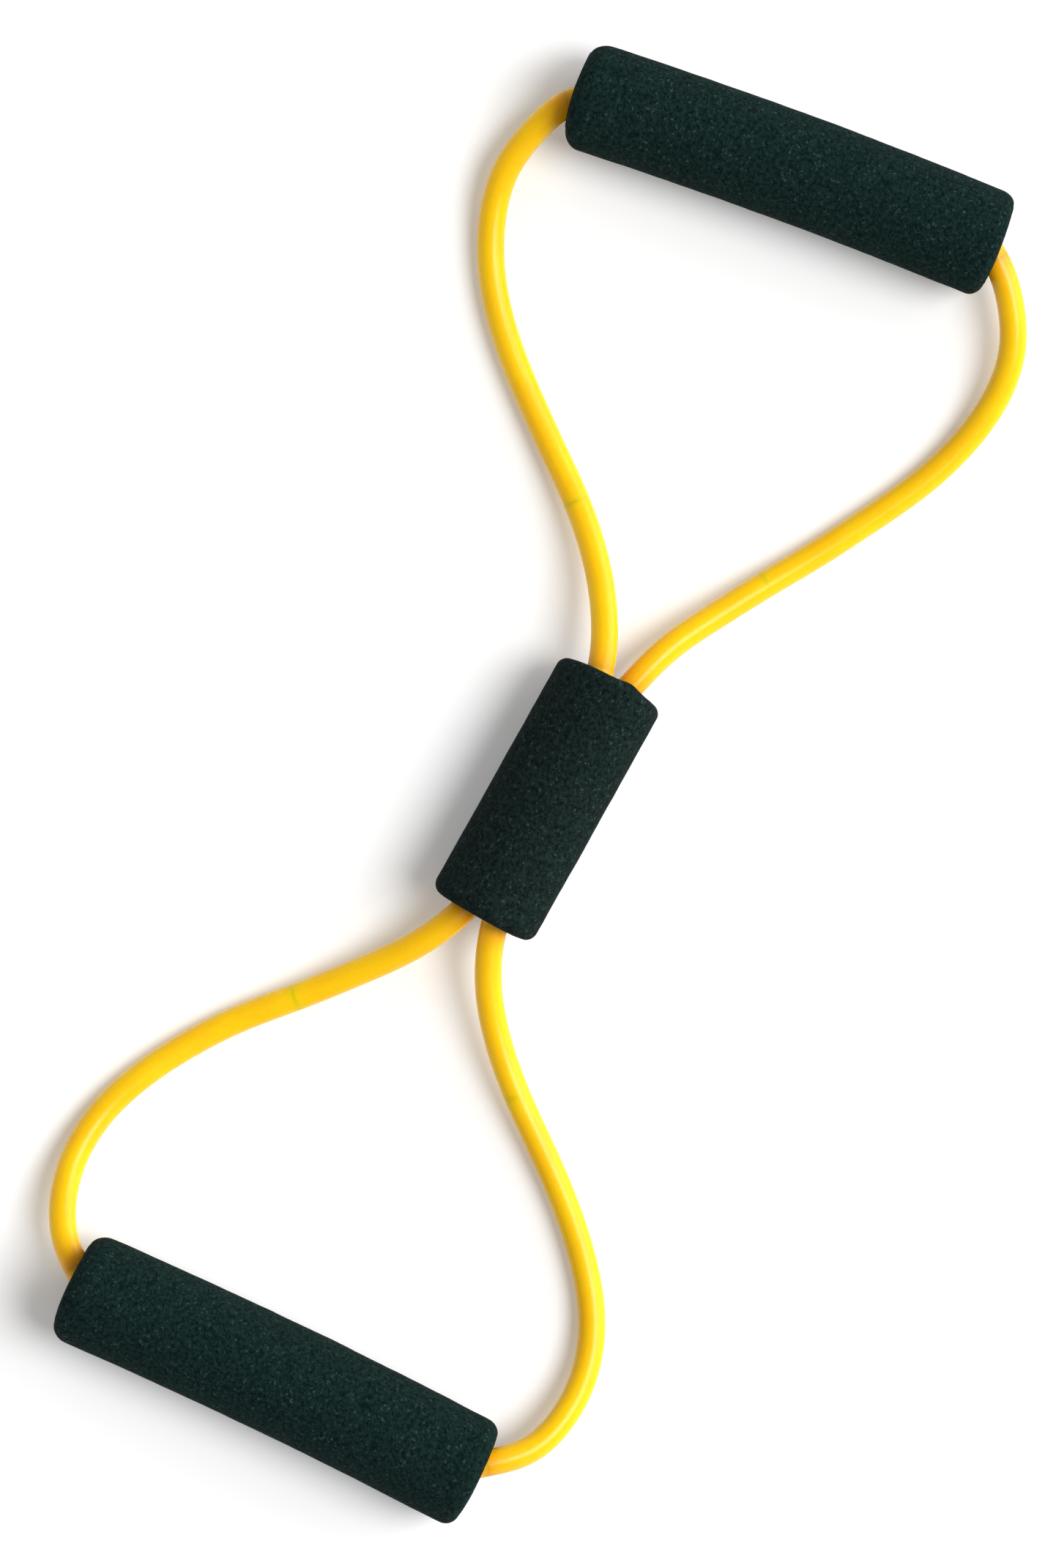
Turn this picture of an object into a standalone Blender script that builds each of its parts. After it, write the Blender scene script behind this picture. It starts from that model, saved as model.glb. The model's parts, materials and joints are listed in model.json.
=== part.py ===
"""A figure-of-eight resistance band lying on a flat surface.

One loop of latex tube runs through two foam grips and crosses itself inside a short foam
sleeve. The origin is under the middle of the sleeve, on the surface. +X runs from the sleeve
towards the upper grip, +Y to the left of that and +Z up. Every length is in metres.
"""
import math

import bmesh
import bpy
import numpy as np
from mathutils import Vector

# The least space between two pieces that would touch.
GAP = 0.0003

# Latex tube.
TUBE_RADIUS = 0.0042
TUBE_BORE_RADIUS = 0.0025
TUBE_SIDES = 12
TUBE_POINT_SPACING = 0.022
HOLLOW_POINT_SPACING = 0.008
END_SEGMENT = 0.0010
END_TRIM = 0.0002
# How much closer the points lie where the tube bends: the length one radian counts for.
BEND_WEIGHT = 0.035

# Foam grips and the rigid liner inside each. The upper grip is squeezed a little slimmer.
GRIP_LENGTH = 0.140
UPPER_GRIP_RADIUS = 0.0168
LOWER_GRIP_RADIUS = 0.0175
GRIP_BORE_RADIUS = 0.0110
LINER_WALL = 0.0015
LINER_RECESS = 0.007

# Foam sleeve over the crossing.
SLEEVE_LENGTH = 0.085
SLEEVE_RADIUS = 0.0175
SLEEVE_BORE_RADIUS = 0.0105

# Rounding of the foam's outer corners and of the mouths of its bores: across and along.
FOAM_CORNER = (0.0032, 0.0045)
FOAM_LIP = (0.0024, 0.0030)
FOAM_SIDES = 32
CORNER_STEPS = 4
LIP_STEPS = 3

# Plug that joins the two ends of the tube.
PLUG_LENGTH = 0.036
PLUG_COLLAR_WIDTH = 0.0016
PLUG_BARBS = 3
PLUG_BARB_RADIUS = TUBE_BORE_RADIUS - GAP
PLUG_ROOT_RADIUS = 0.0016
PLUG_NOSE_RADIUS = 0.0009
PLUG_SIDES = 16

# How the pieces lie: centres on the surface, and turns about the vertical.
UPPER_GRIP_CENTRE = (0.2080, 0.0075)
UPPER_GRIP_YAW = math.radians(2.75)
LOWER_GRIP_CENTRE = (-0.1975, 0.0075)
LOWER_GRIP_YAW = math.radians(-2.65)
SLEEVE_YAW = math.radians(-6.3)

# The band folds about a line across it, this far from the origin and this high.
FOLD_DISTANCE = 0.065
FOLD_HEIGHT = 0.012

# The tube inside a grip, from one mouth to the middle of the grip: distance along the grip's
# axis from its middle, distance from the axis towards the sleeve, and height above the axis.
GRIP_RUN = (
    (GRIP_LENGTH / 2, 0.0047, -0.0025),
    (0.0600, -0.0014, -0.0020),
    (0.0440, -0.0041, -0.0015),
    (0.0220, -0.0042, -0.0012),
    (0.0000, -0.0042, -0.0012),
)

# The two runs inside the sleeve, from its upper mouth to its middle: distance along the
# sleeve's axis, distance to the left of it, and height above it. One passes over the other.
CENTRE_RUN_OVER = (
    (SLEEVE_LENGTH / 2, 0.0050, 0.0015),
    (0.0280, 0.0022, 0.0040),
    (0.0140, 0.0007, 0.00445),
    (0.0000, 0.0000, 0.0045),
)
CENTRE_RUN_UNDER = (
    (SLEEVE_LENGTH / 2, -0.0056, -0.0033),
    (0.0280, -0.0024, -0.0042),
    (0.0140, -0.0008, -0.00445),
    (0.0000, 0.0000, -0.0045),
)

# The four open strands, each from the sleeve to its grip. Each droops from the sleeve, lies on
# the surface and rises into the grip. The neck ends and the span begins at the third point.
STRANDS = {
    "upper_left": (
        (0.0570, 0.0050, 0.0155),
        (0.0730, 0.0145, 0.0110),
        (0.0875, 0.0270, 0.0075),
        (0.1000, 0.0405, 0.0054),
        (0.1130, 0.0545, 0.0045),
        (0.1265, 0.0675, 0.0043),
        (0.1420, 0.0785, 0.0045),
        (0.1590, 0.0855, 0.0060),
        (0.1750, 0.0871, 0.0092),
        (0.1870, 0.0841, 0.0118),
    ),
    "upper_right": (
        (0.0560, -0.0160, 0.0126),
        (0.0720, -0.0260, 0.0092),
        (0.0870, -0.0365, 0.0064),
        (0.1020, -0.0475, 0.0048),
        (0.1175, -0.0580, 0.0043),
        (0.1335, -0.0680, 0.0043),
        (0.1500, -0.0755, 0.0048),
        (0.1670, -0.0795, 0.0068),
        (0.1825, -0.0785, 0.0096),
        (0.1955, -0.0725, 0.0122),
    ),
    "lower_left": (
        (-0.0580, 0.0200, 0.0126),
        (-0.0720, 0.0325, 0.0092),
        (-0.0870, 0.0475, 0.0064),
        (-0.0995, 0.0605, 0.0048),
        (-0.1130, 0.0720, 0.0043),
        (-0.1280, 0.0820, 0.0044),
        (-0.1440, 0.0890, 0.0050),
        (-0.1590, 0.0912, 0.0072),
        (-0.1725, 0.0892, 0.0102),
        (-0.1830, 0.0840, 0.0128),
    ),
    "lower_right": (
        (-0.0585, -0.0050, 0.0155),
        (-0.0740, -0.0145, 0.0110),
        (-0.0880, -0.0270, 0.0075),
        (-0.1005, -0.0405, 0.0054),
        (-0.1135, -0.0540, 0.0045),
        (-0.1275, -0.0660, 0.0043),
        (-0.1430, -0.0755, 0.0046),
        (-0.1595, -0.0800, 0.0066),
        (-0.1745, -0.0790, 0.0096),
        (-0.1870, -0.0735, 0.0124),
    ),
}
NECK_POINTS = 3

FOAM_COLOUR = (0.010, 0.026, 0.024, 1.0)
LATEX_COLOUR = (0.90, 0.53, 0.01, 1.0)
LINER_COLOUR = (0.62, 0.63, 0.62, 1.0)
PLUG_COLOUR = (0.78, 0.76, 0.68, 1.0)


def clear_scene():
    for thing in list(bpy.data.objects):
        bpy.data.objects.remove(thing, do_unlink=True)


# --- Placing and finishing ---------------------------------------------------------------


def world_place(thing):
    """Where an unturned parent or its child is, in the world."""
    if thing.parent is None:
        return Vector(thing.location)
    return Vector(thing.location) + world_place(thing.parent)


def add_object(name, data, place=(0, 0, 0), turn=(0, 0, 0), parent=None):
    """A new object at a world place, carried by its parent."""
    thing = bpy.data.objects.new(name, data)
    bpy.context.scene.collection.objects.link(thing)
    thing.location = Vector(place)
    thing.rotation_euler = turn
    if parent is not None:
        thing.location = Vector(place) - world_place(parent)
        thing.parent = parent
    return thing


def add_finish(thing, colour, roughness):
    """Give a piece a material of its own."""
    material = bpy.data.materials.new(thing.name)
    material.use_nodes = True
    shader = material.node_tree.nodes["Principled BSDF"]
    shader.inputs["Base Color"].default_value = colour
    shader.inputs["Roughness"].default_value = roughness
    shader.inputs["Metallic"].default_value = 0.0
    thing.data.materials.append(material)


# --- Turned pieces -----------------------------------------------------------------------


def arc_points(centre, reach, start, end, steps):
    """Points on an elliptical arc, in degrees, in the plane of radius and length."""
    angles = np.radians(np.linspace(start, end, steps + 1))
    return [
        (centre[0] + reach[0] * math.cos(angle), centre[1] + reach[1] * math.sin(angle))
        for angle in angles
    ]


def foam_profile(length, outer_radius, bore_radius):
    """The closed outline of a foam tube: rounded corners outside, a soft lip at each mouth."""
    corner_centre = (outer_radius - FOAM_CORNER[0], length / 2 - FOAM_CORNER[1])
    lip_centre = (bore_radius + FOAM_LIP[0], length / 2 - FOAM_LIP[1])
    corner = arc_points(corner_centre, FOAM_CORNER, 0, 90, CORNER_STEPS)
    lip = arc_points(lip_centre, FOAM_LIP, 90, 180, LIP_STEPS)
    upper_half = corner + lip
    lower_half = [(radius, -height) for radius, height in reversed(upper_half)]
    return upper_half + lower_half


def liner_profile():
    """The closed outline of the plain rigid tube inside a grip."""
    outer = GRIP_BORE_RADIUS - GAP
    inner = outer - LINER_WALL
    half_length = GRIP_LENGTH / 2 - LINER_RECESS
    return [
        (outer, half_length),
        (inner, half_length),
        (inner, -half_length),
        (outer, -half_length),
    ]


def plug_profile():
    """The plug's outline from its tip to its collar and on to its other tip."""
    half_length = PLUG_LENGTH / 2
    shoulder = PLUG_COLLAR_WIDTH / 2
    barb_pitch = (half_length - shoulder) / PLUG_BARBS
    half = [(0.0, half_length), (PLUG_NOSE_RADIUS, half_length)]
    for barb in reversed(range(PLUG_BARBS)):
        foot = shoulder + (barb + 0.25) * barb_pitch
        half += [(PLUG_BARB_RADIUS, foot), (PLUG_ROOT_RADIUS, foot)]
    half += [(PLUG_ROOT_RADIUS, shoulder), (TUBE_RADIUS, shoulder)]
    return half + [(radius, -height) for radius, height in reversed(half)]


def turned_mesh(name, profile, sides, closed):
    """Spin an outline about local Z, with a flat, not a corner, facing each of X and Y."""
    half_step = math.pi / sides
    to_corner = 1 / math.cos(half_step)
    shape = bmesh.new()
    corners = [
        shape.verts.new(
            (
                radius * to_corner * math.cos(half_step),
                radius * to_corner * math.sin(half_step),
                height,
            )
        )
        for radius, height in profile
    ]
    joins = list(zip(corners, corners[1:]))
    if closed:
        joins.append((corners[-1], corners[0]))
    edges = [shape.edges.new(join) for join in joins]
    bmesh.ops.spin(
        shape,
        geom=corners + edges,
        cent=(0, 0, 0),
        axis=(0, 0, 1),
        angle=2 * math.pi,
        steps=sides,
        use_merge=True,
    )
    bmesh.ops.remove_doubles(shape, verts=shape.verts, dist=1e-6)
    return finished_mesh(name, shape)


def finished_mesh(name, shape):
    """Turn a bmesh into a mesh that faces out and is smooth except at its real corners."""
    bmesh.ops.recalc_face_normals(shape, faces=shape.faces)
    if shape.calc_volume(signed=True) < 0:
        bmesh.ops.reverse_faces(shape, faces=shape.faces)
    mesh = bpy.data.meshes.new(name)
    shape.to_mesh(mesh)
    shape.free()
    mesh.shade_smooth()
    mesh.set_sharp_from_angle(angle=math.radians(40))
    return mesh


def lying_turn(heading):
    """The turn that lays local Z level and points it along a heading in the X-Y plane."""
    return (0, math.radians(90), heading)


# --- The route of the tube ---------------------------------------------------------------


def grip_point(end, along, inward, up):
    """A point in a grip, given from the grip's middle towards its left, the sleeve and up."""
    left = Vector((-math.sin(end["yaw"]), math.cos(end["yaw"]), 0))
    to_sleeve = Vector((left.y, -left.x, 0)) * -end["side"]
    middle = Vector((*end["centre"], end["radius"]))
    return middle + left * along + to_sleeve * inward + Vector((0, 0, up))


def grip_run(end):
    """The tube's points inside a grip, from its left mouth to its right mouth."""
    left_half = [grip_point(end, along, inward, up) for along, inward, up in GRIP_RUN]
    right_half = [grip_point(end, -along, inward, up) for along, inward, up in GRIP_RUN[:-1]]
    return left_half + right_half[::-1]


def centre_run(half_run):
    """The points of one run inside the sleeve, from its upper mouth to its lower mouth."""
    axis = Vector((math.cos(SLEEVE_YAW), math.sin(SLEEVE_YAW), 0))
    left = Vector((-axis.y, axis.x, 0))

    def place(along, across, up):
        return axis * along + left * across + Vector((0, 0, SLEEVE_RADIUS + up))

    upper_half = [place(*point) for point in half_run]
    lower_half = [place(-along, -across, up) for along, across, up in half_run[:-1]]
    return upper_half + lower_half[::-1]


def strand_to_grip(name, sleeve_mouth):
    """A strand's neck and span, from the sleeve's mouth up to its grip."""
    points = [sleeve_mouth, *STRANDS[name]]
    return [
        (name + "_tube_neck", points[:NECK_POINTS]),
        (name + "_tube_span", points[NECK_POINTS:]),
    ]


def strand_from_grip(name, grip_mouth):
    """A strand's span and neck, from the grip's mouth down to the sleeve."""
    points = [grip_mouth, *reversed(STRANDS[name])]
    return [
        (name + "_tube_span", points[:-NECK_POINTS]),
        (name + "_tube_neck", points[-NECK_POINTS:]),
    ]


def loop_stretches(upper, lower):
    """The whole loop in order. Each stretch ends where the next one starts."""
    over = centre_run(CENTRE_RUN_OVER)[::-1]
    under = centre_run(CENTRE_RUN_UNDER)
    upper_run = grip_run(upper)
    lower_run = grip_run(lower)
    splice = len(lower_run) // 2
    return [
        ("centre_tube_over", over[:-1]),
        *strand_to_grip("upper_left", over[-1]),
        ("upper_grip_tube", upper_run[:-1]),
        *strand_from_grip("upper_right", upper_run[-1]),
        ("centre_tube_under", under[:-1]),
        *strand_to_grip("lower_left", under[-1]),
        ("lower_grip_tube_left", lower_run[:splice]),
        ("lower_grip_tube_right", lower_run[splice:-1]),
        *strand_from_grip("lower_right", lower_run[-1]),
    ]


def spline_through(points):
    """A smooth closed curve: a function from a point's number and a fraction to a place."""
    places = np.array([tuple(point) for point in points])
    following = np.roll(places, -1, axis=0)
    steps = np.linalg.norm(following - places, axis=1)
    before = np.roll(steps, 1)
    count = len(places)
    rows = np.arange(count)
    system = np.zeros((count, count))
    system[rows, rows] = 2 * (before + steps)
    system[rows, (rows - 1) % count] = before
    system[rows, (rows + 1) % count] = steps
    slopes = (following - places) / steps[:, None]
    bends = np.linalg.solve(system, 6 * (slopes - np.roll(slopes, 1, axis=0)))

    def place(number, fraction):
        start = number % count
        end = (number + 1) % count
        rest = 1 - fraction
        line = rest * places[start] + fraction * places[end]
        curve = (rest**3 - rest) * bends[start] + (fraction**3 - fraction) * bends[end]
        return line + steps[start] ** 2 / 6 * curve

    return place


def points_along(line, spacing, start_trim, end_trim):
    """Points on a line whose ends are cut back: closer where it bends, and square at its ends."""
    steps = np.diff(line, axis=0)
    lengths = np.linalg.norm(steps, axis=1)
    headings = steps / lengths[:, None]
    turns = np.linalg.norm(np.diff(headings, axis=0), axis=1)
    travelled = np.concatenate(([0], np.cumsum(lengths)))
    turned = np.concatenate(([0], np.cumsum(turns), [np.sum(turns)]))
    effort = travelled + BEND_WEIGHT * turned
    start = start_trim
    end = travelled[-1] - end_trim
    first, last = np.interp((start, end), travelled, effort)
    even = np.linspace(first, last, math.ceil((last - first) / spacing) + 1)
    inner = np.interp(even[1:-1], effort, travelled)
    stops = [start, start + END_SEGMENT, *inner, end - END_SEGMENT, end]
    return [Vector([np.interp(stop, travelled, axis) for axis in line.T]) for stop in stops]


def tube_lines(upper, lower):
    """The centre line of every stretch of tube, by name."""
    samples_per_point = 24
    stretches = loop_stretches(upper, lower)
    place = spline_through([point for _, points in stretches for point in points])
    at_collar = PLUG_COLLAR_WIDTH / 2 + GAP
    lines = {}
    first = 0
    for name, points in stretches:
        last = first + len(points)
        line = [
            place(number, sample / samples_per_point)
            for number in range(first, last)
            for sample in range(samples_per_point)
        ]
        line.append(place(last, 0))
        spacing = TUBE_POINT_SPACING if is_strand(name) else HOLLOW_POINT_SPACING
        start_trim = at_collar if name == "lower_grip_tube_right" else END_TRIM
        end_trim = at_collar if name == "lower_grip_tube_left" else END_TRIM
        lines[name] = points_along(np.array(line), spacing, start_trim, end_trim)
        first = last
    return lines


def is_strand(name):
    return name.endswith(("_neck", "_span"))


# --- The pieces --------------------------------------------------------------------------


def add_open_strand(name, line, parent):
    """A stretch of tube that lies free, as a plain rod of the tube's outer size."""
    curve = bpy.data.curves.new(name, "CURVE")
    curve.dimensions = "3D"
    curve.bevel_depth = TUBE_RADIUS
    curve.bevel_resolution = TUBE_SIDES // 2 - 2
    curve.use_fill_caps = True
    spline = curve.splines.new("POLY")
    spline.points.add(len(line) - 1)
    origin = world_place(parent)
    for point, place in zip(spline.points, line):
        point.co = (*(place - origin), 1)
    strand = add_object(name, curve, origin, parent=parent)
    add_finish(strand, LATEX_COLOUR, 0.35)


def add_hollow_run(name, line, parent=None):
    """A stretch of tube held inside foam, with its bore."""
    origin = world_place(parent) if parent else Vector()
    tangents = [
        (line[min(i + 1, len(line) - 1)] - line[max(i - 1, 0)]).normalized()
        for i in range(len(line))
    ]
    across = tangents[0].orthogonal().normalized()
    bore_corner = TUBE_BORE_RADIUS / math.cos(math.pi / TUBE_SIDES)
    shape = bmesh.new()
    rings = []
    for place, tangent in zip(line, tangents):
        across = (across - tangent * across.dot(tangent)).normalized()
        up = tangent.cross(across)
        ring = []
        for radius in (TUBE_RADIUS, bore_corner):
            for side in range(TUBE_SIDES):
                angle = 2 * math.pi * side / TUBE_SIDES
                out = across * math.cos(angle) + up * math.sin(angle)
                ring.append(shape.verts.new(place - origin + out * radius))
        rings.append((ring[:TUBE_SIDES], ring[TUBE_SIDES:]))
    for (outer, inner), (next_outer, next_inner) in zip(rings, rings[1:]):
        join_rings(shape, outer, next_outer)
        join_rings(shape, next_inner, inner)
    join_rings(shape, rings[0][1], rings[0][0])
    join_rings(shape, rings[-1][0], rings[-1][1])
    run = add_object(name, finished_mesh(name, shape), origin, parent=parent)
    add_finish(run, LATEX_COLOUR, 0.35)


def join_rings(shape, ring, next_ring):
    """A band of faces from one ring of corners to the next."""
    for side in range(TUBE_SIDES):
        after = (side + 1) % TUBE_SIDES
        shape.faces.new((ring[side], ring[after], next_ring[after], next_ring[side]))


def add_sleeve():
    """The foam sleeve that gathers the two strands where they cross."""
    mesh = turned_mesh(
        "centre_sleeve_foam",
        foam_profile(SLEEVE_LENGTH, SLEEVE_RADIUS, SLEEVE_BORE_RADIUS),
        FOAM_SIDES,
        closed=True,
    )
    sleeve = add_object("centre_sleeve_foam", mesh, (0, 0, SLEEVE_RADIUS), lying_turn(SLEEVE_YAW))
    add_finish(sleeve, FOAM_COLOUR, 0.95)


def add_grip(end, parent):
    """A foam grip and its rigid liner, which turn together on the tube."""
    name = end["name"] + "_grip"
    middle = (*end["centre"], end["radius"])
    turn = lying_turn(end["yaw"] + math.radians(90))
    foam_outline = foam_profile(GRIP_LENGTH, end["radius"], GRIP_BORE_RADIUS)
    foam_mesh = turned_mesh(name + "_foam", foam_outline, FOAM_SIDES, closed=True)
    foam = add_object(name + "_foam", foam_mesh, middle, turn, parent)
    add_finish(foam, FOAM_COLOUR, 0.95)
    liner_mesh = turned_mesh(name + "_liner", liner_profile(), FOAM_SIDES, closed=True)
    liner = add_object(name + "_liner", liner_mesh, middle, turn, parent)
    add_finish(liner, LINER_COLOUR, 0.45)


def add_splice_plug(end, parent):
    """The barbed plug that joins the tube's ends in the middle of the lower grip."""
    mesh = turned_mesh("splice_plug", plug_profile(), PLUG_SIDES, closed=False)
    middle = grip_point(end, *GRIP_RUN[-1])
    turn = lying_turn(end["yaw"] + math.radians(90))
    plug = add_object("splice_plug", mesh, middle, turn, parent)
    add_finish(plug, PLUG_COLOUR, 0.40)


def add_end(end, lines):
    """One loop of the band: necks that fold, spans that stretch, and the grip on its tube."""
    name = end["name"]
    fold = add_object(name + "_fold_axis", None, (end["side"] * FOLD_DISTANCE, 0, FOLD_HEIGHT))
    reach = add_object(
        name + "_grip_axis", None, (*end["centre"], end["radius"]), parent=fold
    )
    for line_name, line in lines.items():
        if not line_name.startswith(name):
            continue
        if line_name.endswith("_neck"):
            add_open_strand(line_name, line, fold)
        elif line_name.endswith("_span"):
            add_open_strand(line_name, line, reach)
        else:
            add_hollow_run(line_name, line, reach)
    add_grip(end, reach)
    return reach


def build():
    clear_scene()
    upper = {
        "name": "upper",
        "side": 1,
        "centre": UPPER_GRIP_CENTRE,
        "yaw": UPPER_GRIP_YAW,
        "radius": UPPER_GRIP_RADIUS,
    }
    lower = {
        "name": "lower",
        "side": -1,
        "centre": LOWER_GRIP_CENTRE,
        "yaw": LOWER_GRIP_YAW,
        "radius": LOWER_GRIP_RADIUS,
    }
    lines = tube_lines(upper, lower)
    add_sleeve()
    add_hollow_run("centre_tube_over", lines["centre_tube_over"])
    add_hollow_run("centre_tube_under", lines["centre_tube_under"])
    add_end(upper, lines)
    lower_reach = add_end(lower, lines)
    add_splice_plug(lower, lower_reach)


build()
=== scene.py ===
"""The looks of a figure-of-eight resistance band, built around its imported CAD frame.

The tube is swept along the same route as the CAD's. Every piece of foam is a dense turned
body with an uneven, cellular skin. All lengths are in metres, in the frame of the CAD.
"""

import json
import math

import bmesh
import bpy
import numpy as np
from mathutils import Matrix, Vector, noise


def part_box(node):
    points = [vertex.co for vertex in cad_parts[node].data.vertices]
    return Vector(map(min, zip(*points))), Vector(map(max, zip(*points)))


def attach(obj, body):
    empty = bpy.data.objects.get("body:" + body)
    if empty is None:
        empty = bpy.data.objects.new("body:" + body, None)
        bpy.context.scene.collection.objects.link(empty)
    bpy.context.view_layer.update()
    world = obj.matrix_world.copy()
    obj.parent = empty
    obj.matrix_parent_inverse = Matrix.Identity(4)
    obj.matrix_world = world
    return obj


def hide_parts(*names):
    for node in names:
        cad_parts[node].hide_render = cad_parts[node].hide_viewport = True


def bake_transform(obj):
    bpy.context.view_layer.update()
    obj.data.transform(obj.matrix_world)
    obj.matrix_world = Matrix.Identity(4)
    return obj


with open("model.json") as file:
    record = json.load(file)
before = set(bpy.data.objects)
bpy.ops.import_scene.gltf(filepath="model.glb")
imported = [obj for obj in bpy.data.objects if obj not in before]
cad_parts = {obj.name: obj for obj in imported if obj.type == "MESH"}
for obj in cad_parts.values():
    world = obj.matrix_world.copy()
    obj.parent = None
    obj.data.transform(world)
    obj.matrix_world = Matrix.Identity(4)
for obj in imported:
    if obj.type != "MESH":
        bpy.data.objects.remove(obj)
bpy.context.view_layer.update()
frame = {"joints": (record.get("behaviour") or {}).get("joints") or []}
JOINTS = {joint["name"]: joint for joint in frame["joints"]}

# Camera: straight above, turned about the vertical, with a long lens.
VIEW_TURN = math.radians(-67.06)
VIEW_CENTRE = (0.0021, 0.0060)
VIEW_PLANE_HEIGHT = 0.010
VIEW_LONG_SIDE = 0.4839
VIEW_DISTANCE = 3.0
SENSOR = 36.0

# Tube, as in the CAD source.
TUBE_RADIUS = 0.0042
TUBE_BORE_RADIUS = 0.0025

# The tube's looks. Near the foam's mouths the tube is coloured browner, partly as wear where they
# rub it and partly as painted shade cast by the mouths; the reach is how fast that fades away from them.
TUBE_SIDES = 36
RING_SPACING = 0.0018
RUB_AND_SHADE_REACH = 0.0045

# Edges that turn by more than this stay sharp.
SHARP_ANGLE = math.radians(50)

# Foam, liners and plug, as in the CAD source.
GRIP_LENGTH = 0.140
GRIP_BORE_RADIUS = 0.0110
GAP = 0.0003
LINER_WALL = 0.0015
LINER_RECESS = 0.007
SLEEVE_LENGTH = 0.085
SLEEVE_BORE_RADIUS = 0.0105
SLEEVE_YAW = math.radians(-6.3)
SLEEVE_AXIS = Vector((math.cos(SLEEVE_YAW), math.sin(SLEEVE_YAW), 0))
PLUG_LENGTH = 0.036
PLUG_COLLAR_WIDTH = 0.0016
PLUG_BARBS = 3
PLUG_BARB_GAP = 0.25
PLUG_ROOT_RADIUS = 0.0016
PLUG_NOSE_RADIUS = 0.0009

# The foam's looks. A corner or lip is its size across and along the axis, and corners are the
# one at the left or upper end and the one at the other end. Settled foam is wider than it is
# high by FOAM_SPREAD.
FOAM_SIDES = 128
FOAM_RING_SPACING = 0.0011
BORE_RING_SPACING = 0.005
FOAM_LIP = (0.0012, 0.0028)
GRIP_CORNERS = ((0.0045, 0.0058), (0.0040, 0.0046))
SLEEVE_CORNERS = ((0.0030, 0.0034), (0.0034, 0.0040))
FOAM_END_DOME = 0.0002
FOAM_SPREAD = 1.017
LIP_STEPS = 6
FACE_STEPS = 4
CORNER_STEPS = 9

# Unevenness of the foam's skin: the size of its waves, lumps or grains, and their depth.
FOAM_WAVE = (0.016, 0.00022)
FOAM_LUMP = (0.0045, 0.00012)
FOAM_GRAIN = (0.0014, 0.00005)
FOAM_SEED = Vector((3.7, 1.3, 2.1))

# How far the ends of the foam fall away towards their sides: the end at +X, then the one at -X,
# each first at its +Y side. The sleeve's end at +X also bulges where a strand pushes it out: the
# bulge's place across, its half width and its height.
END_REACH = 0.016
GRIP_FALLS = {
    "upper": ((0.0022, 0.0014), (0.0010, 0.0004)),
    "lower": ((0.0013, 0.0009), (0.0009, -0.0004)),
}
SLEEVE_FALLS = ((0.0017, 0.0017), (0.0005, 0.0005))
SLEEVE_BULGE = (-0.0055, 0.0035, 0.0009)

# The grips' skins bow sideways: by how much from middle to ends, and the share of that by which
# the middle is set back.
GRIP_BOW = {"upper": (0.0015, 0.15), "lower": (0.0014, 0.70)}

# The looks of the liners and the plug: their sides, eased edges and the spacing of their rings.
LINER_SIDES = 72
LINER_EDGE = 0.0004
EDGE_STEPS = 4
LINER_RING_SPACING = 0.012
PLUG_SIDES = 48
PLUG_EASE = 0.0002

# Colours, as linear red, green, blue and alpha.
LATEX_DEEP = (0.97, 0.560, 0.002, 1)
LATEX_BRIGHT = (1.00, 0.600, 0.002, 1)
LATEX_DUSTY = (1.00, 0.680, 0.080, 1)
LATEX_SCUFFED = (0.42, 0.210, 0.020, 1)
# Browner latex at the foam's mouths: partly rub wear, partly painted shade cast by the mouths.
LATEX_RUB_AND_SHADE = (0.78, 0.250, 0.010, 1)
FOAM_DEEP = (0.0014, 0.0070, 0.0060, 1)
FOAM_LIGHT = (0.0105, 0.0300, 0.0275, 1)
FOAM_FLECK = (0.0450, 0.0800, 0.0760, 1)
SLEEVE_DEEP = (0.0018, 0.0058, 0.0048, 1)
SLEEVE_LIGHT = (0.0135, 0.0265, 0.0240, 1)
LINER_DULL = (0.52, 0.53, 0.51, 1)
LINER_PALE = (0.66, 0.67, 0.66, 1)
PLUG_DULL = (0.70, 0.68, 0.58, 1)
PLUG_PALE = (0.82, 0.80, 0.72, 1)
FLOOR_WHITE = (0.84, 0.84, 0.84, 1)
WHITE = (1, 1, 1, 1)

# How far red, green and blue light travel inside the latex: their ratio, and red's distance.
LATEX_SCATTER = (1.0, 0.30, 0.03)
LATEX_SCATTER_SCALE = 0.0030

# How far clear of an open stretch's end near the sleeve, and of its other end, blend_zone puts
# its points.
NEAR_CLEARANCE = 0.002
FAR_CLEARANCE = 0.009

# The tube's route, as in the CAD source. Inside a grip: along its axis, towards the sleeve, up.
GRIP_RUN = (
    (GRIP_LENGTH / 2, 0.0047, -0.0025),
    (0.0600, -0.0014, -0.0020),
    (0.0440, -0.0041, -0.0015),
    (0.0220, -0.0042, -0.0012),
    (0.0000, -0.0042, -0.0012),
)

# Inside the sleeve: along its axis, to the left, up.
CENTRE_RUN_OVER = (
    (SLEEVE_LENGTH / 2, 0.0050, 0.0015),
    (0.0280, 0.0022, 0.0040),
    (0.0140, 0.0007, 0.00445),
    (0.0000, 0.0000, 0.0045),
)
CENTRE_RUN_UNDER = (
    (SLEEVE_LENGTH / 2, -0.0056, -0.0033),
    (0.0280, -0.0024, -0.0042),
    (0.0140, -0.0008, -0.00445),
    (0.0000, 0.0000, -0.0045),
)

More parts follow.
